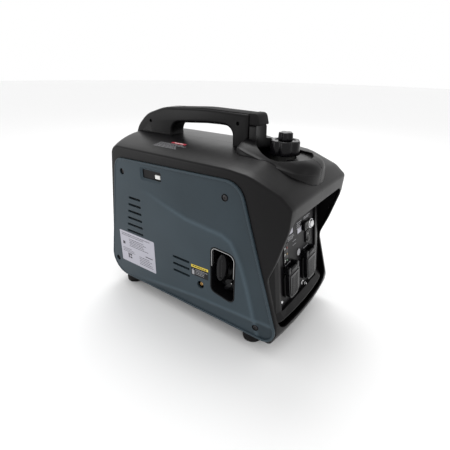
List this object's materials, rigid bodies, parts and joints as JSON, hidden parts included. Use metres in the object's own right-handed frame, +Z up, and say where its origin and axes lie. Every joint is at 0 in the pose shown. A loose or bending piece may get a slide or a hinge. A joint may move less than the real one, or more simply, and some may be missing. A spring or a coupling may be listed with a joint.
{
  "type": "portable generator",
  "caption": "Suitcase-style portable inverter generator with carrying handle, side covers, socket panel, fuel cap and pull starter.",
  "frame": {"origin": "on the ground, under the centre of the overall box", "axes": "+X to the control panel end, -Y to the pull-starter side, +Z up"},
  "size_m": [0.4598, 0.245, 0.425],
  "materials": {
    "slate": "satin moulded",
    "casing": "fine-grained moulded",
    "panel": "satin",
    "rubber": "matt",
    "aluminium": "cast",
    "steel": "plated",
    "brass": "turned",
    "copper": "wound and varnished",
    "label": "printed film",
    "rope": "braided",
    "lamp": "clear"
  },
  "bodies": {
    "root": {"left_side_cover": "slate", "right_side_cover": "slate", "left_body_shell": "casing", "right_body_shell": "casing", "front_bay": "casing", "tank_cowl": "casing", "left_handle_half": "casing", "right_handle_half": "casing", "rear_cover": "casing", "base_tray": "casing", "recoil_bezel": "casing", "recoil_housing": "casing", "air_cleaner": "casing", "fuel_tank": "casing", "switch_frame": "casing", "dc_outlet": "casing", "ignition_coil": "casing", "control_panel": "panel", "socket_left": "panel", "socket_right": "panel", "lamp_strip": "panel", "handle_grip": "rubber", "grip_end_cap": "rubber", "foot_1": "rubber", "foot_2": "rubber", "foot_3": "rubber", "foot_4": "rubber", "crankcase": "aluminium", "cylinder_barrel": "aluminium", "cylinder_head": "aluminium", "carburettor": "aluminium", "inverter_unit": "aluminium", "fuel_tap_body": "aluminium", "bezel_trim": "aluminium", "cover_screw_1": "steel", "cover_screw_2": "steel", "cover_screw_3": "steel", "cover_screw_4": "steel", "spark_plug": "steel", "muffler": "steel", "exhaust_pipe": "steel", "earth_terminal": "steel", "breaker_collar": "steel", "drain_stud": "brass", "stator": "copper", "rating_plate": "label", "starter_rope": "rope"},
    "cap_lift": {"cap_gasket": "rubber"},
    "fuel_cap": {"fuel_cap": "casing"},
    "vent_knob": {"vent_knob": "casing"},
    "starter_grip": {"starter_grip": "casing"},
    "recoil_reel": {"recoil_reel": "casing"},
    "choke_lever": {"choke_lever": "lamp"},
    "fuel_tap_knob": {"fuel_tap_knob": "casing"},
    "socket_lid_left": {"socket_lid_left": "casing"},
    "socket_lid_right": {"socket_lid_right": "casing"},
    "eco_rocker": {"eco_rocker": "casing"},
    "breaker_button": {"breaker_button": "lamp"},
    "crank_train": {"crankshaft": "steel", "flywheel_rotor": "steel"}
  },
  "joints": [
    {"name": "cap_lift", "type": "slide", "parent": "root", "child": "cap_lift", "axis": [0, 0, 1], "range_m": [0, 0.06]},
    {"name": "cap_turn", "type": "hinge", "parent": "cap_lift", "child": "fuel_cap", "pos_m": [0.148, 0, 0.3585], "axis": [0, 0, 1], "range_deg": [0, 360]},
    {"name": "vent_turn", "type": "hinge", "parent": "fuel_cap", "child": "vent_knob", "pos_m": [0.148, 0, 0.3585], "axis": [0, 0, 1], "range_deg": [0, 90]},
    {"name": "starter_pull", "type": "slide", "parent": "root", "child": "starter_grip", "axis": [0, -1, 0], "range_m": [0, 0.55], "stiffness_N_per_m": 20, "springref_m": -0.2, "deforming": ["starter_rope"]},
    {"name": "reel_turn", "type": "hinge", "parent": "root", "child": "recoil_reel", "pos_m": [-0.004, -0.107, 0.127], "axis": [0, 1, 0], "range_deg": [0, 930]},
    {"name": "choke_slide", "type": "slide", "parent": "root", "child": "choke_lever", "axis": [-1, 0, 0], "range_m": [0, 0.025]},
    {"name": "fuel_tap_turn", "type": "hinge", "parent": "root", "child": "fuel_tap_knob", "pos_m": [0.1085, -0.1105, 0.115], "axis": [0, -1, 0], "range_deg": [0, 90]},
    {"name": "lid_left_turn", "type": "hinge", "parent": "root", "child": "socket_lid_left", "pos_m": [0.20572, -0.04, 0.15804], "axis": [0, -1, 0], "range_deg": [0, 110], "stiffness_Nm_per_rad": 0.03, "springref_deg": -34.38},
    {"name": "lid_right_turn", "type": "hinge", "parent": "root", "child": "socket_lid_right", "pos_m": [0.20572, 0.04, 0.15804], "axis": [0, -1, 0], "range_deg": [0, 110], "stiffness_Nm_per_rad": 0.03, "springref_deg": -34.38},
    {"name": "eco_rock", "type": "hinge", "parent": "root", "child": "eco_rocker", "pos_m": [0.19191, 0.045, 0.18806], "axis": [0, 1, 0], "range_deg": [0, 14]},
    {"name": "breaker_push", "type": "slide", "parent": "root", "child": "breaker_button", "axis": [-0.9923, 0, -0.1236], "range_m": [0, 0.0025], "stiffness_N_per_m": 500, "springref_m": -0.001},
    {"name": "crank_turn", "type": "hinge", "parent": "root", "child": "crank_train", "pos_m": [-0.004, -0.0325, 0.127], "axis": [0, 1, 0], "continuous": true}
  ],
  "couplings": [
    {"joint": "reel_turn", "follows": "starter_pull", "rad_per_m": 29.412}
  ]
}
